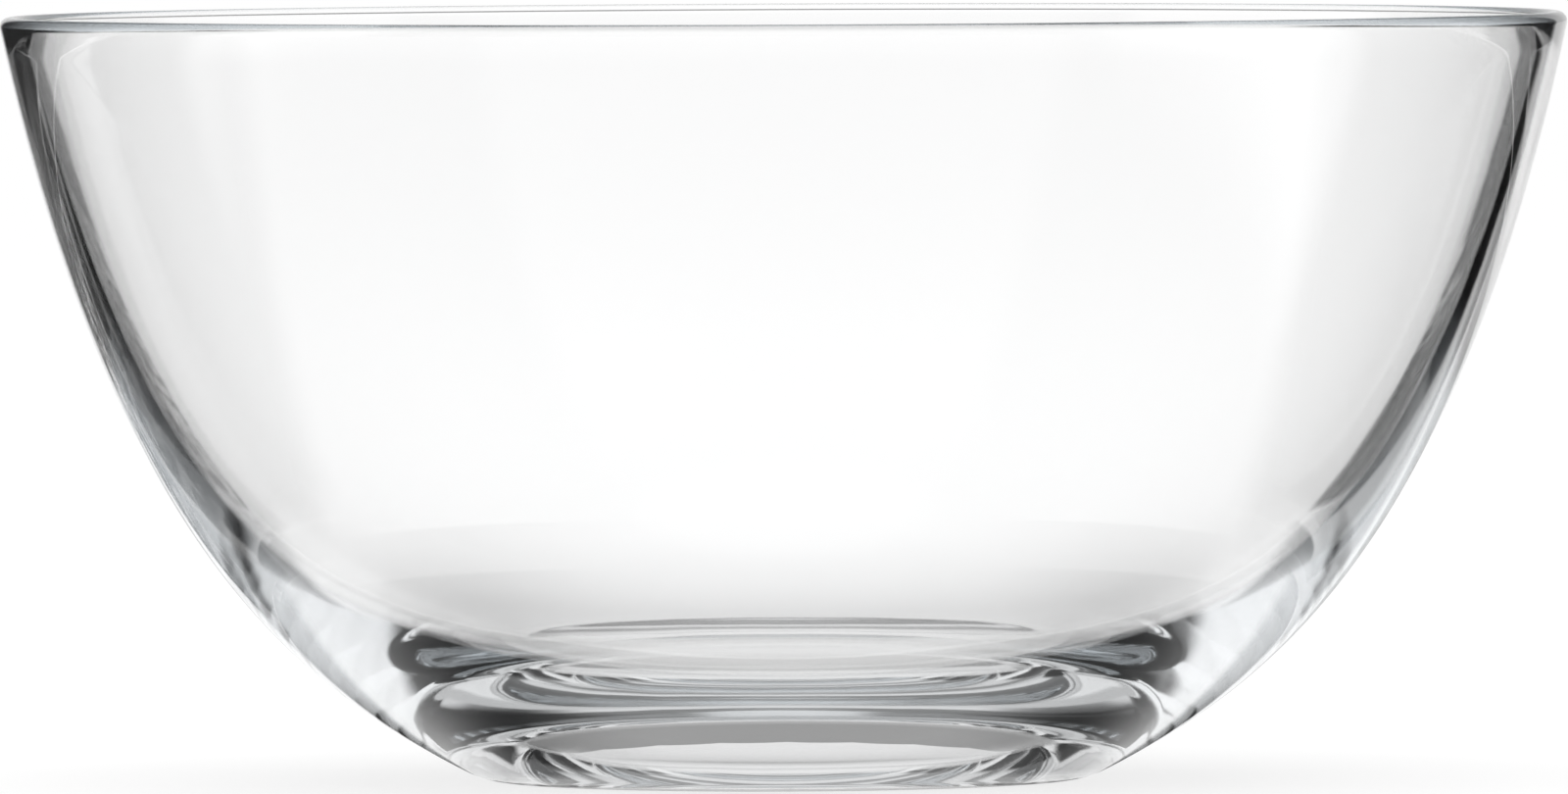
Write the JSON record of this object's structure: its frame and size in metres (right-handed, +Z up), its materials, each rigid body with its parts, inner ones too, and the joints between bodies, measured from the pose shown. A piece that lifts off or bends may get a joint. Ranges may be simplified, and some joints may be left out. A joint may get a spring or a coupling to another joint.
{
  "type": "salad bowl",
  "caption": "Deep round salad bowl of clear glass with a rounded rim, a wall that thickens downwards and a heavy base with a flat standing ring.",
  "frame": {"origin": "centre of the circle that the bowl stands on", "axes": "+Z up along the bowl's axis of revolution, X and Y across the rim"},
  "size_m": [0.26, 0.26, 0.127],
  "materials": {
    "glass": "clear polished"
  },
  "bodies": {
    "root": {"bowl": "glass"}
  },
  "joints": []
}
